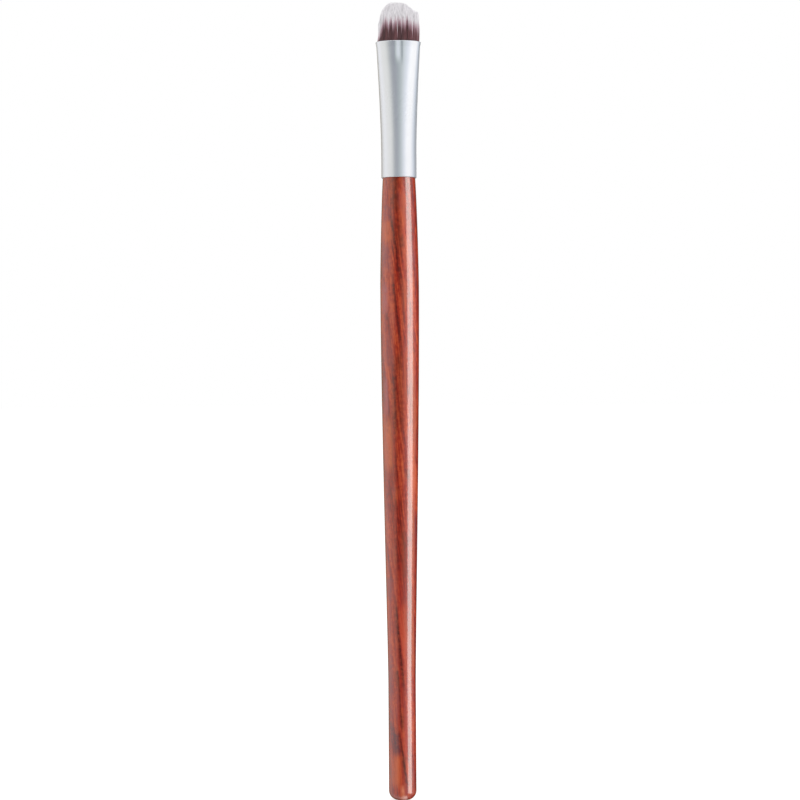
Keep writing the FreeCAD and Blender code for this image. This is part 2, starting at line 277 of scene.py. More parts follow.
def makeTent():
    cloth = bpy.data.materials.new("tentCloth")
    cloth.use_nodes = True
    cloth.cycles.emission_sampling = "NONE"
    tree = cloth.node_tree
    tree.nodes.clear()
    spot = splitOf(tree, addNode(tree, "ShaderNodeUVMap").outputs[0])
    tones = rampOf(tree, spot[0], [((angle + 180) / 360, tone) for angle, tone in tent["tones"]])
    cover = calc(tree, "MULTIPLY", stretch(tree, spot[1], 0, tent["softEdge"], 0, 1, True),
                 stretch(tree, spot[1], 1, 1 - tent["softEdge"], 0, 1, True))
    soft = addNode(tree, "ShaderNodeMixShader", {"Fac": cover})
    feed(tree, soft.inputs[1], addNode(tree, "ShaderNodeBsdfTransparent").outputs[0])
    feed(tree, soft.inputs[2], addNode(tree, "ShaderNodeEmission", {"Color": tones}).outputs[0])
    feed(tree, addNode(tree, "ShaderNodeOutputMaterial").inputs["Surface"], soft.outputs[0])
    wall = bmesh.new()
    layer = wall.loops.layers.uv.new("UVMap")
    columns = []
    for side in range(tent["sides"] + 1):
        angle = math.tau * (side / tent["sides"] - 0.5)
        x, y = tent["radius"] * math.sin(angle), -tent["radius"] * math.cos(angle)
        columns.append([wall.verts.new((x, y, tent[end])) for end in ("bottom", "top")])
    for side, (before, after) in enumerate(zip(columns, columns[1:])):
        panel = wall.faces.new((before[0], after[0], after[1], before[1]))
        for corner, (u, v) in zip(panel.loops, ((side, 0), (side + 1, 0), (side + 1, 1), (side, 1))):
            corner[layer].uv = (u / tent["sides"], v)
    mesh = bpy.data.meshes.new("tent")
    wall.to_mesh(mesh)
    wall.free()
    mesh.materials.append(cloth)
    made = newPiece("tent", mesh)
    for ray in ("camera", "diffuse", "transmission", "volume_scatter", "shadow"):
        setattr(made, "visible_" + ray, False)


makeCamera()
makeWorld()
floor = makeFloor()
makeTent()
print("studio ready")


# shared patterns
noiseRoughness = 0.55


def stretchedNoiseGroup():  # noise with its own pitch along each axis, its contrast set by Low and High
    tree, given, result = newTree("stretchedNoise", "ShaderNodeTree",
                                  {"Place": "Vector", "Per Millimetre": "Vector", "Detail": "Float",
                                   "Low": "Float", "High": "Float"}, {"Mask": "Float"})
    inMillimetres = addNode(tree, "ShaderNodeVectorMath", operation="SCALE")
    feed(tree, inMillimetres.inputs[0], given["Place"])
    inMillimetres.inputs["Scale"].default_value = 1 / millimetre
    pitched = addNode(tree, "ShaderNodeVectorMath", operation="MULTIPLY")
    feed(tree, pitched.inputs[0], inMillimetres.outputs[0])
    feed(tree, pitched.inputs[1], given["Per Millimetre"])
    noise = addNode(tree, "ShaderNodeTexNoise", {"Vector": pitched.outputs[0], "Scale": 1.0,
                                                 "Detail": given["Detail"], "Roughness": noiseRoughness})
    feed(tree, result["Mask"], stretch(tree, noise.outputs[0], given["Low"], given["High"], 0, 1, True))
    return tree


# how a mark fades: to its left and right in its own widths, and past and before its ends in its own lengths
markFade = {"left": 1.4, "right": 0.6, "past": 0.12, "before": 0.2}


def grainMarkGroup():  # one line or patch of the figure, drifting across as it runs up the handle
    tree, given, result = newTree("grainMark", "ShaderNodeTree",
                                  {"Across": "Float", "Height": "Float", "Foot": "Vector", "Head": "Vector",
                                   "Width": "Float"}, {"Mask": "Float"})
    foot = splitOf(tree, given["Foot"])
    head = splitOf(tree, given["Head"])
    along = addNode(tree, "ShaderNodeMapRange", clamp=False)
    for socket, item in zip(along.inputs, (given["Height"], foot[2], head[2], 0.0, 1.0)):
        feed(tree, socket, item)
    run = along.outputs[0]
    line = calc(tree, "MULTIPLY_ADD", calc(tree, "SUBTRACT", head[0], foot[0]), run, foot[0])
    away = calc(tree, "DIVIDE", calc(tree, "SUBTRACT", given["Across"], line), given["Width"])
    core = calc(tree, "MINIMUM", stretch(tree, away, -markFade["left"], 0.0, 0, 1, True),
                stretch(tree, away, markFade["right"], 0.0, 0, 1, True))
    ends = calc(tree, "MULTIPLY", stretch(tree, run, -markFade["past"], markFade["before"], 0, 1, True),
                stretch(tree, run, 1 + markFade["past"], 1 - markFade["before"], 0, 1, True))
    feed(tree, result["Mask"], calc(tree, "MULTIPLY", core, ends))
    return tree


stretchedNoise = stretchedNoiseGroup()
grainMark = grainMarkGroup()


def noiseMask(tree, place, pattern):  # pattern: pitch per millimetre along each axis, low, high, detail
    made = addNode(tree, "ShaderNodeGroup", node_tree=stretchedNoise)
    for label, value in zip(("Place", "Per Millimetre", "Low", "High", "Detail"), (place, *pattern)):
        feed(tree, made.inputs[label], value)
    return made.outputs["Mask"]


# handle
handleSettings = {
    # radii and heights of the turned profile; a pull is where the handle of the curve stands
    "buttFlat": 0.935, "buttRound": 2.0, "tail": 2.935, "tailTop": 24.5, "tailPull": 33.2,
    "belly": 4.12, "bellyTop": 109.4, "bellyPulls": (80.5, 111.4),
    "neck": 3.46, "shoulder": 132.5, "neckPull": (3.88, 125.6),
    "tenon": 3.3, "tenonTop": 138.0, "nose": 2.9, "noseTop": 141.6,
    "sides": 144, "smoothness": 20, "seamMerge": 0.0001, "sharpAngle": 35,
    "lacquer": {"Coat Weight": 1.0, "Coat Roughness": 0.17, "Coat IOR": 1.7, "Specular IOR Level": 0.1},
    "roughness": (0.30, 0.42), "relief": (0.01, 0.2),
    "slope": 0.12, "wander": 0.8, "wanderPitch": (260.0, 260.0, 55.0), "markWear": 0.6,
    "colours": {
        "deep": (0.17, 0.010, 0.003), "body": (0.33, 0.023, 0.005), "light": (0.50, 0.070, 0.016),
        "pores": (0.07, 0.006, 0.004), "line": (0.07, 0.006, 0.004), "brown": (0.13, 0.020, 0.006),
        "olive": (0.27, 0.055, 0.012), "orange": (0.58, 0.115, 0.026), "red": (0.52, 0.050, 0.018),
        "mauve": (0.22, 0.040, 0.048), "plum": (0.08, 0.024, 0.040), "lilac": (0.46, 0.110, 0.105),
        # peach and pale are painted highlight colours: the glint on the butt's rounded bottom edge
        "peachPaintedHighlight": (0.62, 0.18, 0.09), "pale": (0.92, 0.54, 0.46), "rose": (0.36, 0.043, 0.038),
    },
    "ground": (("deep", 0.15), ("body", 0.5), ("light", 0.88)),  # the wood under the figure, by its tone
    "patterns": {
        "bands": ((0.75, 0.12, 0.012), 0.36, 0.66, 4.0),
        "streaks": ((3.2, 2.4, 0.11), 0.36, 0.64, 3.0),
        "mottle": ((1.5, 1.5, 1.2), 0.34, 0.66, 4.0),
        "pores": ((9.0, 9.0, 0.55), 0.60, 0.72, 2.0),
        "orangeSpots": ((0.42, 0.42, 0.12), 0.57, 0.72, 2.0),
        "mauveSpots": ((0.38, 0.38, 0.10), 0.56, 0.70, 2.0),
    },
    "weights": {
        "bands": 0.42, "streaks": 0.38, "mottle": 0.24, "pores": 0.4, "orangeSpots": 0.3, "mauveSpots": 0.4,
    },
    # the figure on the front, with a few marks of painted shade and painted highlight among them, later marks
    # over earlier ones:
    # colour, strength, foot and head as across and height, width
    "figure": (
        ("rose", 0.32, (0.4, -8.0), (0.4, 52.0), 4.2),
        # painted shade: this wide brown band darkens the wood just under the ferrule's foot
        ("brown", 0.35, (0.8, 130.3), (0.8, 134.5), 7.0),
        ("brown", 0.85, (-0.65, 125.5), (-0.8, 133.5), 1.6),
        ("brown", 0.45, (-0.2, 116.0), (-0.3, 129.5), 1.3),
        ("orange", 0.55, (1.25, 121.5), (1.0, 129.5), 0.8),
        ("mauve", 0.60, (-1.5, 123.0), (-1.9, 126.5), 1.6),
        ("orange", 0.70, (-2.0, 118.8), (-2.3, 123.4), 2.0),
        ("mauve", 0.60, (-2.3, 112.3), (-2.6, 118.6), 1.6),
        ("brown", 0.45, (0.6, 115.0), (0.4, 124.0), 0.9),
        ("brown", 0.75, (0.9, 117.5), (0.8, 120.6), 0.8),
        ("orange", 0.50, (1.1, 104.5), (1.0, 111.0), 0.8),
        ("brown", 0.50, (-0.5, 91.3), (-0.4, 94.8), 1.7),
        ("brown", 0.50, (0.45, 77.5), (0.25, 97.0), 1.4),
        ("orange", 0.40, (1.4, 84.0), (1.35, 96.5), 0.6),
        ("orange", 0.85, (-2.15, 70.0), (-2.4, 81.5), 1.7),
        ("brown", 0.35, (0.8, 47.5), (0.8, 60.0), 0.8),
        ("olive", 0.30, (0.7, 47.0), (0.65, 58.0), 1.0),
        ("mauve", 0.70, (-2.2, 42.8), (-2.3, 47.6), 1.3),
        ("red", 0.60, (0.5, 31.0), (0.25, 42.0), 0.9),
        ("orange", 0.40, (0.95, 31.0), (0.8, 42.5), 0.8),
        ("mauve", 0.55, (-2.2, 21.5), (-2.3, 31.0), 1.2),
        ("mauve", 0.55, (-1.0, 21.0), (-1.15, 28.5), 0.7),
        ("brown", 0.55, (-1.15, 24.4), (-1.2, 27.8), 0.7),
        ("plum", 0.80, (-0.75, 9.6), (-1.45, 14.8), 1.2),
        ("plum", 0.70, (-1.2, 10.2), (-2.4, 17.0), 1.0),
        ("orange", 0.75, (-1.0, 3.0), (-1.1, 9.8), 1.8),
        # painted highlight: these two marks paint the glint on the butt's rounded bottom edge
        ("peachPaintedHighlight", 0.95, (0.35, 0.2), (0.25, 3.4), 1.0),
        ("pale", 0.90, (0.95, -0.6), (0.9, 1.2), 0.9),
        ("brown", 0.50, (0.15, 15.4), (0.1, 18.6), 0.7),
        ("brown", 0.60, (0.75, 6.6), (0.7, 9.6), 0.7),
        ("red", 0.50, (1.05, 10.0), (1.0, 18.5), 0.5),
        # partly the wood's orange streak right of the lacquer highlight, partly painted highlight that widens
        # the highlight's right shoulder
        ("orange", 0.60, (2.35, 27.0), (2.5, 44.0), 0.6),
        ("orange", 0.60, (2.6, 46.0), (2.95, 97.0), 0.7),
        ("lilac", 0.60, (-2.8, 103.5), (-2.8, 110.0), 1.0),
        ("lilac", 0.75, (-2.75, 82.0), (-2.85, 90.0), 0.8),
        ("line", 0.95, (0.2, 111.0), (-1.6, 125.5), 0.47),
        ("line", 0.60, (1.3, 100.5), (0.1, 112.5), 0.5),
        ("line", 0.85, (0.15, 97.0), (-1.4, 111.5), 0.5),
        ("line", 0.80, (-1.0, 77.5), (-1.2, 92.0), 0.8),
        ("line", 0.25, (-0.8, 45.0), (-0.95, 59.0), 0.5),
        ("line", 0.95, (0.35, 23.5), (-1.2, 42.5), 0.58),
        ("line", 0.80, (0.0, 15.0), (-1.2, 28.5), 0.45),
        ("line", 0.90, (1.5, 2.5), (-0.8, 15.0), 0.68),
    ),
}


def lacqueredWood():
    colours = handleSettings["colours"]
    patterns = handleSettings["patterns"]
    weights = handleSettings["weights"]
    made, tree, shader, place = newMaterial("lacqueredWood", **handleSettings["lacquer"])
    # the figure wanders a little and leans across the handle as it climbs
    pitched = addNode(tree, "ShaderNodeVectorMath", operation="MULTIPLY")
    feed(tree, pitched.inputs[0], place)
    pitched.inputs[1].default_value = handleSettings["wanderPitch"]
    wander = addNode(tree, "ShaderNodeTexNoise", {"Vector": pitched.outputs[0], "Scale": 1.0, "Detail": 2.0})
    reach = handleSettings["wander"]
    drift = calc(tree, "MULTIPLY_ADD", wander.outputs[0], 2 * reach, -reach)
    parts = splitOf(tree, place)
    across = calc(tree, "ADD", calc(tree, "MULTIPLY", parts[0], 1 / millimetre), drift)
    height = calc(tree, "MULTIPLY", parts[2], 1 / millimetre)
    rings = calc(tree, "MULTIPLY_ADD", height, handleSettings["slope"], across)
    leaned = joinOf(tree, calc(tree, "MULTIPLY", rings, millimetre), parts[1], parts[2])
    bands = noiseMask(tree, leaned, patterns["bands"])
    streaks = noiseMask(tree, leaned, patterns["streaks"])
    mottle = noiseMask(tree, place, patterns["mottle"])
    pores = noiseMask(tree, leaned, patterns["pores"])
    tone = calc(tree, "MULTIPLY", bands, weights["bands"])
    tone = calc(tree, "MULTIPLY_ADD", streaks, weights["streaks"], tone)
    tone = calc(tree, "MULTIPLY_ADD", mottle, weights["mottle"], tone)
    colour = rampOf(tree, tone, [(stop, colours[kind]) for kind, stop in handleSettings["ground"]])
    for spots, kind, spread in (("orangeSpots", "orange", leaned), ("mauveSpots", "mauve", place)):
        amount = calc(tree, "MULTIPLY", noiseMask(tree, spread, patterns[spots]), weights[spots])
        colour = mixColours(tree, amount, colour, colours[kind])
    # the marks are laid over the wood one by one: the figure, and with it the painted shade under the ferrule
    # and the painted highlights at the butt and the right shoulder
    for kind, strength, foot, head, width in handleSettings["figure"]:
        mark = addNode(tree, "ShaderNodeGroup", {"Across": across, "Height": height}, node_tree=grainMark)
        mark.inputs["Foot"].default_value = (foot[0], 0, foot[1])
        mark.inputs["Head"].default_value = (head[0], 0, head[1])
        mark.inputs["Width"].default_value = width
        worn = stretch(tree, mottle, 0, 1, strength, handleSettings["markWear"] * strength)
        colour = mixColours(tree, calc(tree, "MULTIPLY", mark.outputs[0], worn), colour, colours[kind])
    colour = mixColours(tree, calc(tree, "MULTIPLY", pores, weights["pores"]), colour, colours["pores"])
    feed(tree, shader["Base Color"], colour)
    feed(tree, shader["Roughness"], stretch(tree, streaks, 0, 1, *handleSettings["roughness"]))
    raised = calc(tree, "SUBTRACT", streaks, pores)
    feed(tree, shader["Normal"], bumpOf(tree, raised, *handleSettings["relief"]))
    return made


def makeHandle(material):
    sizes = handleSettings
    bend = sizes["buttRound"] * (1 - 0.5523)  # the handles of a quarter circle reach 0.5523 of its radius
    lowPull, highPull = sizes["bellyPulls"]
    # each knot: its place, the handle before it and the handle after it; None leaves that side straight
    knots = [
        ((0, 0), None, None),
        ((sizes["buttFlat"], 0), None, (sizes["tail"] - bend, 0)),
        ((sizes["tail"], sizes["buttRound"]), (sizes["tail"], bend), None),
        ((sizes["tail"], sizes["tailTop"]), None, (sizes["tail"], sizes["tailPull"])),
        ((sizes["belly"], sizes["bellyTop"]), (sizes["belly"], lowPull), (sizes["belly"], highPull)),
        ((sizes["neck"], sizes["shoulder"]), sizes["neckPull"], None),
        ((sizes["tenon"], sizes["shoulder"]), None, None),
        ((sizes["tenon"], sizes["tenonTop"]), None, None),
        ((sizes["nose"], sizes["noseTop"]), None, None),
        ((0, sizes["noseTop"]), None, None),
    ]
    profile = bpy.data.curves.new("handle", "CURVE")
    profile.dimensions = "3D"
    profile.resolution_u = sizes["smoothness"]
    line = profile.splines.new("BEZIER")
    line.bezier_points.add(len(knots) - 1)
    for point, (knot, before, after) in zip(line.bezier_points, knots):
        point.co = (knot[0], 0, knot[1])
        point.handle_left_type = "FREE" if before else "VECTOR"
        point.handle_right_type = "FREE" if after else "VECTOR"
    for point, (knot, before, after) in zip(line.bezier_points, knots):
        if before:
            point.handle_left = (before[0], 0, before[1])
        if after:
            point.handle_right = (after[0], 0, after[1])
    piece = settle(newPiece("turnedHandle", profile))
    lathe = piece.modifiers.new("lathe", "SCREW")
    lathe.axis = "Z"
    lathe.steps = lathe.render_steps = sizes["sides"]
    lathe.use_merge_vertices = True
    lathe.merge_threshold = sizes["seamMerge"]
    piece = settle(piece)
    finishMesh(piece, sizes["sharpAngle"], material)
    return piece


handle = makeHandle(lacqueredWood())
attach(handle, "root")
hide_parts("handle")
print("handle turned")

# ferrule: a round tube pressed oval towards its mouth
ferruleSettings = {
    "tube": {
        "Foot Height": 132.5, "Barrel Length": 5.5, "Flare Length": 22.5, "Lip Length": 1.0, "Radius": 3.75,
        "Width Growth": 0.9, "Depth Loss": 1.05, "Lip Spread": 0.2, "Flare Power": 1.5,
        "Sides": 160, "Rings": 116,
    },
    "wall": 0.35, "edgeRound": 0.16, "edgeSteps": 4, "edgeAngle": 50, "sharpAngle": 60,
    "metallic": 0.6,  # anodised: the rest scatters light
    "bright": (0.752, 0.797, 0.857), "dull": (0.736, 0.781, 0.841), "dullness": 0.5,
    "roughHeights": (160, 134), "roughness": (0.20, 0.30), "cloudRoughness": 0.015, "brushRoughness": 0.03,
    "brushing": ((5.0, 5.0, 60.0), 0.3, 0.7, 2.0), "clouds": ((0.5, 0.5, 0.35), 0.35, 0.65, 3.0),
    "grains": ((22.0, 22.0, 22.0), 0.3, 0.7, 1.0), "grainShare": 0.4, "relief": (0.002, 0.2),
    # a faint upright fold in the front of the mouth, where the press met the tube
    "fold": {"left": -0.85, "middle": 0.58, "right": 1.1, "leftRise": 0.24, "rightRise": 0.055,
             "foot": 155.8, "full": 158.8, "front": -1.0},
}


def satinAluminium():
    look = ferruleSettings
    made, tree, shader, place = newMaterial("satinAluminium", Metallic=look["metallic"])
    brushing = noiseMask(tree, place, look["brushing"])
    clouds = noiseMask(tree, place, look["clouds"])
    grains = noiseMask(tree, place, look["grains"])
    dulled = calc(tree, "MULTIPLY", clouds, look["dullness"])
    feed(tree, shader["Base Color"], mixColours(tree, dulled, look["bright"], look["dull"]))
    across, through, height = [calc(tree, "MULTIPLY", part, 1 / millimetre) for part in splitOf(tree, place)]
    worn = stretch(tree, height, *look["roughHeights"], *look["roughness"])
    patchy = calc(tree, "MULTIPLY_ADD", clouds, look["cloudRoughness"], worn)
    feed(tree, shader["Roughness"], calc(tree, "MULTIPLY_ADD", brushing, look["brushRoughness"], patchy))
    brushed = bumpOf(tree, calc(tree, "MULTIPLY_ADD", grains, look["grainShare"], brushing), *look["relief"])
    fold = look["fold"]
    rise = calc(tree, "ADD", stretch(tree, across, fold["left"], fold["middle"], fold["leftRise"], 0, True),
                stretch(tree, across, fold["middle"], fold["right"], 0, fold["rightRise"], True))
    rise = calc(tree, "MULTIPLY", rise, stretch(tree, height, fold["foot"], fold["full"], 0, 1, True))
    rise = calc(tree, "MULTIPLY", rise, calc(tree, "LESS_THAN", through, fold["front"]))
    feed(tree, shader["Normal"], bumpOf(tree, rise, 1.0, 1.0, brushed))
    return made


def pressedTubeTree():
    inputs = {label: "Float" for label in ferruleSettings["tube"]}
    inputs.update({"Sides": "Int", "Rings": "Int", "Material": "Material"})
    tree, given, result = newTree("pressedTube", "GeometryNodeTree", inputs, {"Geometry": "Geometry"})
    straight = calc(tree, "ADD", given["Barrel Length"], given["Flare Length"])
    length = calc(tree, "ADD", straight, given["Lip Length"])
    tube = addNode(tree, "GeometryNodeMeshCylinder", fill_type="NONE", inputs={
        "Vertices": given["Sides"], "Side Segments": given["Rings"],
        "Radius": given["Radius"], "Depth": length})
    spot = splitOf(tree, addNode(tree, "GeometryNodeInputPosition").outputs[0])
    above = calc(tree, "ADD", spot[2], calc(tree, "MULTIPLY", length, 0.5))  # height over the foot
    overBarrel = calc(tree, "SUBTRACT", above, given["Barrel Length"])
    flareRun = calc(tree, "DIVIDE", overBarrel, given["Flare Length"], use_clamp=True)
    pressed = calc(tree, "POWER", flareRun, given["Flare Power"])
    overFlare = calc(tree, "SUBTRACT", above, straight)
    lipRun = calc(tree, "DIVIDE", overFlare, given["Lip Length"], use_clamp=True)
    lip = calc(tree, "MULTIPLY", lipRun, given["Lip Spread"])
    wider = calc(tree, "MULTIPLY_ADD", given["Width Growth"], pressed, lip)
    thinner = calc(tree, "SUBTRACT", lip, calc(tree, "MULTIPLY", given["Depth Loss"], pressed))
    scaleX = calc(tree, "ADD", calc(tree, "DIVIDE", wider, given["Radius"]), 1.0)
    scaleY = calc(tree, "ADD", calc(tree, "DIVIDE", thinner, given["Radius"]), 1.0)
    moved = joinOf(tree, calc(tree, "MULTIPLY", spot[0], scaleX), calc(tree, "MULTIPLY", spot[1], scaleY),
                   calc(tree, "ADD", above, given["Foot Height"]))
    bent = addNode(tree, "GeometryNodeSetPosition", {"Geometry": tube.outputs["Mesh"], "Position": moved})
    feed(tree, result["Geometry"], realWithMaterial(tree, bent.outputs[0], given["Material"]))
    return tree


def makeFerrule(material):
    values = {**ferruleSettings["tube"], "Material": material}
    piece = growFromNodes("pressedFerrule", pressedTubeTree(), values)
    wall = piece.modifiers.new("wall", "SOLIDIFY")
    wall.thickness = ferruleSettings["wall"]
    wall.offset = -1.0
    wall.use_even_offset = True
    edges = piece.modifiers.new("edges", "BEVEL")
    edges.width = ferruleSettings["edgeRound"]
    edges.segments = ferruleSettings["edgeSteps"]
    edges.limit_method = "ANGLE"
    edges.angle_limit = math.radians(ferruleSettings["edgeAngle"])
    piece = settle(piece)
    finishMesh(piece, ferruleSettings["sharpAngle"])
    return piece


ferrule = makeFerrule(satinAluminium())
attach(ferrule, "root")
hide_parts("ferrule")
print("ferrule pressed")

# bristles: separate fibres rooted over the throat's oval
tuftSettings = {
    "tree": {
        "Root Height": 147.0, "Throat Height": 160.4, "Tip Height": 169.99,
        "Half Width": 4.2, "Half Depth": 2.3, "Spacing": 0.098, "Fibre Radius": 0.074,
        "Dome Depth": 4.2, "Raggedness": 0.22, "Wander": 0.16, "Lean": 0.15, "Clump Pitch": 1.15, "Seed": 11,
    },
    # inner and outer share of the bundle, and the stations along a fibre
    "bands": {"bristleHeart": (0.0, 0.82, 6), "bristleSkin": (0.82, 1.01, 10)},
    "rootOvalSides": 96, "rootsAsked": 5.0,  # asked for in each square of the spacing, more than fit
    "seedShifts": {"tone": 3, "turn": 5, "sway": 7, "red": 9, "stray": 13},
    # the curves below, each with the greatest value that it can reach
    "curveTops": {"widths": 5.0, "depths": 5.0, "fall": 5.0, "turns": 10.0, "reds": 1.0},
    # half width and half depth of the bundle by height
    "curveHeights": (147.0, 170.0),
    "widths": ((147.0, 3.0), (160.4, 4.22), (161.5, 4.42), (163.0, 4.36), (165.0, 4.40), (167.0, 4.34),
               (170.0, 4.2)),
    "depths": ((147.0, 2.7), (160.4, 2.26), (161.5, 2.46), (163.0, 2.52), (165.0, 2.54), (170.0, 2.5)),
    # from the left side (-1) to the right (1): the fall of the tips under the tuft's top
    "fall": ((-1.0, 4.6), (-0.96, 3.8), (-0.88, 2.25), (-0.76, 1.2), (-0.56, 0.33), (-0.38, 0.0),
             (-0.1, 0.0), (0.05, 0.0), (0.2, 0.08), (0.35, 0.3), (0.5, 0.75), (0.65, 1.3), (0.78, 1.7),
             (0.9, 1.95), (1.0, 2.4)),
    # the height over turnBase at which the dark foot turns pale
    "turns": ((-1.0, 1.9), (-0.905, 2.6), (-0.825, 3.5), (-0.775, 3.8), (-0.735, 4.75), (-0.655, 4.85),
              (-0.585, 4.7), (-0.54, 4.15), (-0.491, 3.6), (-0.443, 4.6), (-0.375, 4.85), (-0.335, 4.65),
              (-0.298, 3.8), (-0.25, 4.05), (-0.202, 4.7), (-0.055, 4.75), (0.085, 4.65), (0.185, 4.65),
              (0.235, 4.5), (0.281, 4.1), (0.33, 4.4), (0.405, 5.15), (0.435, 5.0), (0.475, 3.4),
              (0.523, 4.3), (0.571, 4.7), (0.619, 4.0), (0.675, 3.9), (0.785, 4.15), (0.865, 3.75),
              (1.0, 3.9)),
    # how red the foot is, from 0 to 1
    "reds": ((-0.9, 0.5), (-0.755, 0.4), (-0.685, 0.15), (-0.615, 0.75), (-0.54, 0.35), (-0.455, 0.45),
             (-0.365, 0.2), (-0.255, 0.45), (-0.155, 0.95), (-0.055, 0.5), (0.045, 0.25), (0.185, 0.15),
             (0.285, 0.55), (0.375, 0.55), (0.425, 0.25), (0.475, 0.75), (0.545, 0.6), (0.615, 0.88),
             (0.715, 0.68), (0.845, 0.83), (1.0, 0.78)),
    # the turn's height and length, and how much it differs by clump, by strand, by fibre and in stray fibres
    "turnBase": 160.0, "turnLength": 4.4, "turnOffset": 0.66, "noiseSpan": (0.3, 0.7),
    "clumpTurn": 0.2, "strandTurn": 0.45, "strandPitch": 3.2, "fibreTurn": 0.35,
    "strayShare": 0.09, "strayDrop": 1.5, "redByPlace": 0.65,
    # above the throat the fibres part, lean to the right and sway, and from a point on they taper
    "looseHeights": (161.5, 169.0), "leanHeights": (161.0, 163.0),
    "swayPitch": (9.0, 5.0, 0.16), "swaySpan": (0.2, 0.8), "ownSway": 0.35,
    "taperStart": 0.6, "tipWidth": 0.45, "shortest": 2.0, "raggedPower": 3.0,
    # the foot's colour by how red it is, and the rest by how far the turn has come
    "feet": ((0.0, (0.072, 0.036, 0.040)), (0.55, (0.145, 0.062, 0.068)), (1.0, (0.24, 0.095, 0.105))),
    "uppers": ((0.45, (0.52, 0.32, 0.38)), (0.8, (0.96, 0.94, 0.965))),
    "footFade": (0.15, 0.55), "shades": (0.94, 1.05),
    "finish": {"Roughness": 0.42, "Specular IOR Level": 0.4, "Sheen Weight": 0.1},
    "ripple": ((14.0, 14.0, 1.2), 0.3, 0.7, 2.0), "roughness": (0.38, 0.5), "relief": (0.004, 0.3),
}


def bristleFinish():
    look = tuftSettings
    made, tree, shader, place = newMaterial("twoToneBristle", **look["finish"])
    tone, red, turnHeight = [addNode(tree, "ShaderNodeAttribute", attribute_name=name).outputs["Fac"]
                             for name in ("fibreTone", "fibreRed", "fibreTurn")]
    height = calc(tree, "MULTIPLY", splitOf(tree, place)[2], 1 / millimetre)
    over = calc(tree, "SUBTRACT", calc(tree, "SUBTRACT", height, turnHeight), look["turnOffset"])
    turn = stretch(tree, over, -0.5 * look["turnLength"], 0.5 * look["turnLength"])
    foot = rampOf(tree, red, look["feet"])
    upper = rampOf(tree, turn, look["uppers"])
    colour = mixColours(tree, stretch(tree, turn, *look["footFade"], 0, 1, True), foot, upper)
    shade = stretch(tree, tone, 0, 1, *look["shades"])
    colour = mixColours(tree, 1.0, colour, joinOf(tree, shade, shade, shade), "MULTIPLY")
    ripple = noiseMask(tree, place, look["ripple"])
    feed(tree, shader["Base Color"], colour)
    feed(tree, shader["Roughness"], stretch(tree, ripple, 0, 1, *look["roughness"]))
    feed(tree, shader["Normal"], bumpOf(tree, ripple, *look["relief"]))
    return made


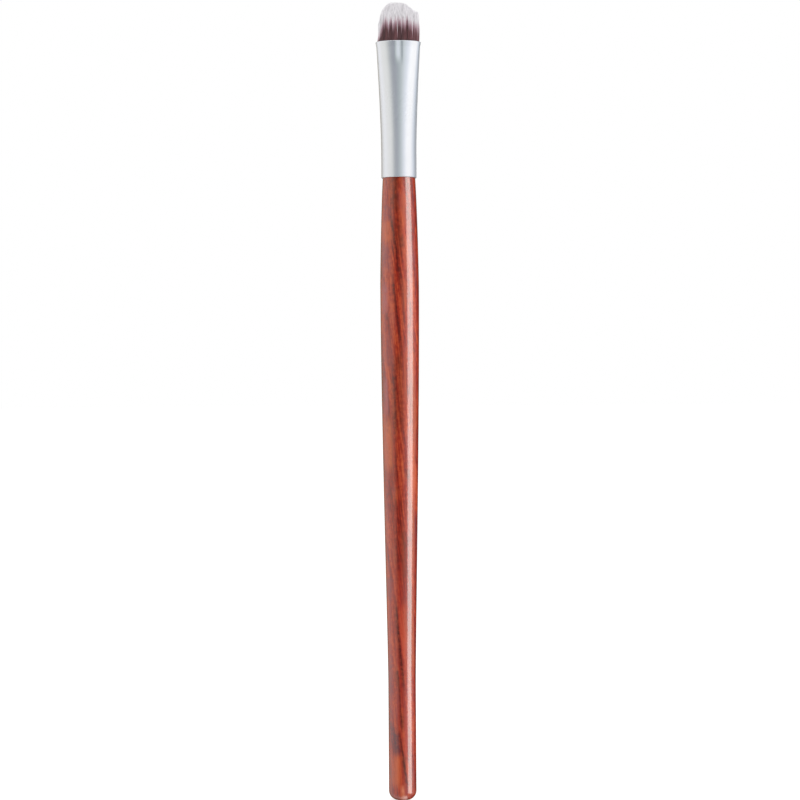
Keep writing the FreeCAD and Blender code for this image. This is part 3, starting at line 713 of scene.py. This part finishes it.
def bristleTree():
    settings = tuftSettings
    inputs = {label: "Float" for label in settings["tree"]}
    inputs.update({"Seed": "Int", "Stations": "Int", "Inner Share": "Float", "Outer Share": "Float",
                   "Material": "Material"})
    tree, given, result = newTree("bristleTuft", "GeometryNodeTree", inputs, {"Geometry": "Geometry"})

    def store(geometry, label, value):
        stored = {"Geometry": geometry, "Name": label, "Value": value}
        made = addNode(tree, "GeometryNodeStoreNamedAttribute", stored, data_type="FLOAT", domain="POINT")
        return made.outputs[0]

    def recall(label):
        return addNode(tree, "GeometryNodeInputNamedAttribute", {"Name": label}, data_type="FLOAT").outputs[0]

    def chance(kind, low=0.0, high=1.0):
        made = addNode(tree, "FunctionNodeRandomValue", data_type="FLOAT")
        made.inputs[2].default_value = low
        made.inputs[3].default_value = high
        feed(tree, made.inputs["Seed"], calc(tree, "ADD", given["Seed"], settings["seedShifts"][kind]))
        return made.outputs[1]

    def byCurve(value, label, low=-1.0, high=1.0):  # its points are fitted into the curve's unit square
        top = settings["curveTops"][label]
        flat = [((x - low) / (high - low), y / top) for x, y in settings[label]]
        return calc(tree, "MULTIPLY", curveOf(tree, stretch(tree, value, low, high), flat), top)

    # roots spread evenly over the throat's oval: more are asked for than fit, so the spacing sets how many
    disc = addNode(tree, "GeometryNodeMeshCircle", {"Vertices": settings["rootOvalSides"], "Radius": 1.0},
                   fill_type="NGON")
    oval = addNode(tree, "GeometryNodeTransform", {
        "Geometry": disc.outputs[0], "Scale": joinOf(tree, given["Half Width"], given["Half Depth"], 1.0)})
    square = calc(tree, "MULTIPLY", given["Spacing"], given["Spacing"])
    crowd = calc(tree, "DIVIDE", settings["rootsAsked"], square)
    roots = addNode(tree, "GeometryNodeDistributePointsOnFaces", distribute_method="POISSON")
    for label, value in (("Mesh", oval.outputs[0]), ("Distance Min", given["Spacing"]),
                         ("Density Max", crowd), ("Seed", given["Seed"])):
        feed(tree, roots.inputs[label], value)
    position = addNode(tree, "GeometryNodeInputPosition").outputs[0]
    spot = splitOf(tree, position)
    across = calc(tree, "DIVIDE", spot[0], given["Half Width"])
    through = calc(tree, "DIVIDE", spot[1], given["Half Depth"])

    # the height at which each fibre turns pale, and how red its foot is
    turn = calc(tree, "ADD", byCurve(across, "turns"), settings["turnBase"])
    for pitch, detail, reach in ((given["Clump Pitch"], 2.0, settings["clumpTurn"]),
                                 (settings["strandPitch"], 1.0, settings["strandTurn"])):
        noise = addNode(tree, "ShaderNodeTexNoise", {"Vector": position, "Scale": pitch, "Detail": detail})
        shift = stretch(tree, noise.outputs[0], *settings["noiseSpan"], -reach, reach)
        turn = calc(tree, "ADD", turn, shift)
    turn = calc(tree, "ADD", turn, chance("turn", -settings["fibreTurn"], settings["fibreTurn"]))
    stray = calc(tree, "GREATER_THAN", chance("stray"), 1 - settings["strayShare"])
    turn = calc(tree, "ADD", turn, calc(tree, "MULTIPLY", stray, -settings["strayDrop"]))
    byPlace = settings["redByPlace"]
    red = calc(tree, "MULTIPLY_ADD", byCurve(across, "reds"), byPlace, chance("red", 0.0, 1 - byPlace))

    points = roots.outputs["Points"]
    for label, value in (("across", across), ("through", through), ("fibreTone", chance("tone")),
                         ("fibreTurn", turn), ("fibreRed", red), ("fibreSway", chance("sway", -1.0, 1.0))):
        points = store(points, label, value)
    out = calc(tree, "SQRT", calc(tree, "ADD", calc(tree, "POWER", recall("across"), 2.0),
                                  calc(tree, "POWER", recall("through"), 2.0)))
    outside = calc(tree, "MAXIMUM", calc(tree, "LESS_THAN", out, given["Inner Share"]),
                   calc(tree, "GREATER_THAN", out, given["Outer Share"]))
    kept = addNode(tree, "GeometryNodeDeleteGeometry", {"Geometry": points, "Selection": outside},
                   domain="POINT")

    # one upright line for each root
    upright = addNode(tree, "GeometryNodeCurvePrimitiveLine", {"End": (0, 0, 1.0)})
    stations = addNode(tree, "GeometryNodeResampleCurve", {"Curve": upright.outputs[0],
                                                           "Count": given["Stations"]})
    planted = addNode(tree, "GeometryNodeInstanceOnPoints", {"Points": kept.outputs[0],
                                                             "Instance": stations.outputs[0]})
    real = addNode(tree, "GeometryNodeRealizeInstances", {"Geometry": planted.outputs[0]})

    # its first station stands at the root's height, and the rest from the throat to the fibre's own tip
    throat = given["Throat Height"]
    run = addNode(tree, "GeometryNodeSplineParameter").outputs["Factor"]
    step = calc(tree, "DIVIDE", 1.0, calc(tree, "SUBTRACT", given["Stations"], 1.0))
    shown = calc(tree, "DIVIDE", calc(tree, "SUBTRACT", run, step), calc(tree, "SUBTRACT", 1.0, step))
    isRoot = calc(tree, "LESS_THAN", shown, -0.001)  # well under the next station's 0
    fall = byCurve(recall("across"), "fall")
    dome = calc(tree, "MULTIPLY", calc(tree, "POWER", recall("through"), 2.0), given["Dome Depth"])
    shorter = calc(tree, "POWER", recall("fibreTone"), settings["raggedPower"])
    ragged = calc(tree, "MULTIPLY", shorter, given["Raggedness"])
    drop = calc(tree, "ADD", calc(tree, "ADD", fall, dome), ragged)
    tip = calc(tree, "MAXIMUM", calc(tree, "SUBTRACT", given["Tip Height"], drop),
               calc(tree, "ADD", throat, settings["shortest"]))
    rise = calc(tree, "MULTIPLY", calc(tree, "SUBTRACT", tip, throat), calc(tree, "MAXIMUM", shown, 0.0))
    sunk = calc(tree, "MULTIPLY", isRoot, calc(tree, "SUBTRACT", throat, given["Root Height"]))
    height = calc(tree, "SUBTRACT", calc(tree, "ADD", throat, rise), sunk)

    # the bundle's width and depth at that height, with each fibre's own sway
    width = byCurve(height, "widths", *settings["curveHeights"])
    depth = byCurve(height, "depths", *settings["curveHeights"])
    swayPlace = joinOf(tree, *[calc(tree, "MULTIPLY", value, pitch) for value, pitch in
                               zip((recall("across"), recall("through"), height), settings["swayPitch"])])
    ownSway = calc(tree, "MULTIPLY", recall("fibreSway"), settings["ownSway"])
    swayNoise = addNode(tree, "ShaderNodeTexNoise", noise_dimensions="4D", inputs={
        "Vector": swayPlace, "W": ownSway, "Scale": 1.0, "Detail": 1.0})
    sway = splitOf(tree, swayNoise.outputs["Color"])
    reach = calc(tree, "MULTIPLY", stretch(tree, height, *settings["looseHeights"]), given["Wander"])
    x, y = [calc(tree, "MULTIPLY_ADD", recall(label), spread,
                 calc(tree, "MULTIPLY", stretch(tree, sway[axis], *settings["swaySpan"], -1.0, 1.0), reach))
            for axis, (label, spread) in enumerate((("across", width), ("through", depth)))]
    leaning = stretch(tree, height, *settings["leanHeights"], 0, 1, True)
    x = calc(tree, "MULTIPLY_ADD", leaning, given["Lean"], x)
    bent = addNode(tree, "GeometryNodeSetPosition", {"Geometry": real.outputs[0],
                                                     "Position": joinOf(tree, x, y, height)})
    profile = addNode(tree, "GeometryNodeCurvePrimitiveCircle", {"Resolution": 4,
                                                                 "Radius": given["Fibre Radius"]})
    thick = addNode(tree, "GeometryNodeCurveToMesh", {
        "Curve": bent.outputs[0], "Profile Curve": profile.outputs[0], "Fill Caps": True,
        "Scale": stretch(tree, shown, settings["taperStart"], 1.0, 1.0, settings["tipWidth"])})
    smooth = addNode(tree, "GeometryNodeSetShadeSmooth", {"Geometry": thick.outputs[0]})
    feed(tree, result["Geometry"], realWithMaterial(tree, smooth.outputs[0], given["Material"]))
    return tree


bristle = bristleFinish()
tuftTree = bristleTree()
tuft = []
for name, (inner, outer, stations) in tuftSettings["bands"].items():
    part = growFromNodes(name, tuftTree, {**tuftSettings["tree"], "Inner Share": inner, "Outer Share": outer,
                                          "Stations": stations, "Material": bristle})
    part.data.transform(toMetres)
    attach(part, "root")
    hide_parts("bristle_tuft")
    tuft.append(part)
    print(name, "grown:", len(part.data.polygons), "faces")


# what lies hidden in the ferrule
hiddenSettings = {
    "epoxy": {
        "finish": {"Roughness": 0.2, "Coat Weight": 0.4}, "relief": (0.05, 0.5), "bubbleWhite": 0.5,
        "clear": (0.62, 0.52, 0.34), "dark": (0.50, 0.38, 0.20), "bubble": (0.8, 0.74, 0.6),
        "clouds": ((0.6, 0.6, 0.4), 0.35, 0.65, 3.0), "bubbles": ((4.0, 4.0, 4.0), 0.66, 0.74, 0.0),
    },
    "thread": {
        "finish": {"Roughness": 0.6, "Sheen Weight": 0.2}, "relief": (0.03, 0.8),
        "hollow": (0.74, 0.70, 0.60), "ridge": (0.88, 0.85, 0.77), "twist": ((3.0, 3.0, 14.0), 0.3, 0.7, 2.0),
    },
    "glue": {
        "finish": {"Roughness": 0.55}, "relief": (0.02, 0.5), "roughness": (0.45, 0.65),
        "pale": (0.78, 0.72, 0.58), "dark": (0.66, 0.58, 0.42), "lumps": ((1.5, 1.5, 0.8), 0.3, 0.7, 3.0),
    },
}


def castEpoxy():
    look = hiddenSettings["epoxy"]
    made, tree, shader, place = newMaterial("castEpoxy", **look["finish"])
    bubbles = noiseMask(tree, place, look["bubbles"])
    colour = mixColours(tree, noiseMask(tree, place, look["clouds"]), look["clear"], look["dark"])
    whitened = calc(tree, "MULTIPLY", bubbles, look["bubbleWhite"])
    feed(tree, shader["Base Color"], mixColours(tree, whitened, colour, look["bubble"]))
    feed(tree, shader["Normal"], bumpOf(tree, bubbles, *look["relief"]))
    return made


def waxedThread():
    look = hiddenSettings["thread"]
    made, tree, shader, place = newMaterial("waxedThread", **look["finish"])
    twist = noiseMask(tree, place, look["twist"])
    feed(tree, shader["Base Color"], mixColours(tree, twist, look["hollow"], look["ridge"]))
    feed(tree, shader["Normal"], bumpOf(tree, twist, *look["relief"]))
    return made


def curedGlue():
    look = hiddenSettings["glue"]
    made, tree, shader, place = newMaterial("curedGlue", **look["finish"])
    lumps = noiseMask(tree, place, look["lumps"])
    feed(tree, shader["Base Color"], mixColours(tree, lumps, look["pale"], look["dark"]))
    feed(tree, shader["Roughness"], stretch(tree, lumps, 0, 1, *look["roughness"]))
    feed(tree, shader["Normal"], bumpOf(tree, lumps, *look["relief"]))
    return made


for node, makeFinish in (("root_plug", castEpoxy), ("root_binding", waxedThread), ("tenon_glue", curedGlue)):
    finish = makeFinish()
    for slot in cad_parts[node].material_slots:
        slot.material = finish
print("hidden pieces finished")

# Each lamp reaches only the pieces that it is meant for. The key lamp stands to the right, and a softer one
# in front keeps the pale bristles from clipping at their side. A lamp that is given by its brightness is seen
# only as a highlight: a sharp strip in the lacquer, and a wider and weaker one in the metal.
lamps = {
    "keyLamp": {"place": (0.66, -0.38, 0.60), "aim": (0, 0, 0.08), "size": (0.6, 0.6),
                "power": 5.0, "lit": (handle, ferrule, floor)},
    "tuftLamp": {"place": (0.2, -0.8, 0.5), "aim": (0, 0, 0.16), "size": (0.6, 0.6),
                 "power": 2.65, "lit": tuft},
    "stripLamp": {"place": (0.544, -0.254, 0.085), "aim": (0, 0, 0.085), "size": (0.41, 0.70),
                  "brightness": 5.2, "colour": (0.89, 1.0, 0.97), "lit": (handle,)},
    "softLamp": {"place": (0.544, -0.254, 0.085), "aim": (0, 0, 0.085), "size": (0.52, 0.80),
                 "brightness": 0.405, "lit": (ferrule,)},
}


def makeLamp(name, place, aim, size, lit, power=None, brightness=None, colour=(1, 1, 1)):
    highlightOnly = brightness is not None
    width, height = size
    lamp = bpy.data.lights.new(name, "AREA")
    lamp.shape = "RECTANGLE"
    lamp.size = width
    lamp.size_y = height
    lamp.energy = brightness * math.pi * width * height if highlightOnly else power
    lamp.color = colour
    holder = newPiece(name, lamp)
    holder.location = place
    holder.rotation_euler = (Vector(aim) - Vector(place)).to_track_quat("-Z", "Y").to_euler()
    holder.visible_camera = False
    holder.visible_glossy = highlightOnly
    holder.visible_diffuse = not highlightOnly
    holder.light_linking.receiver_collection = bpy.data.collections.new(name)
    for piece in lit:
        holder.light_linking.receiver_collection.objects.link(piece)


for name, lamp in lamps.items():
    makeLamp(name, **lamp)
print("lamps set")
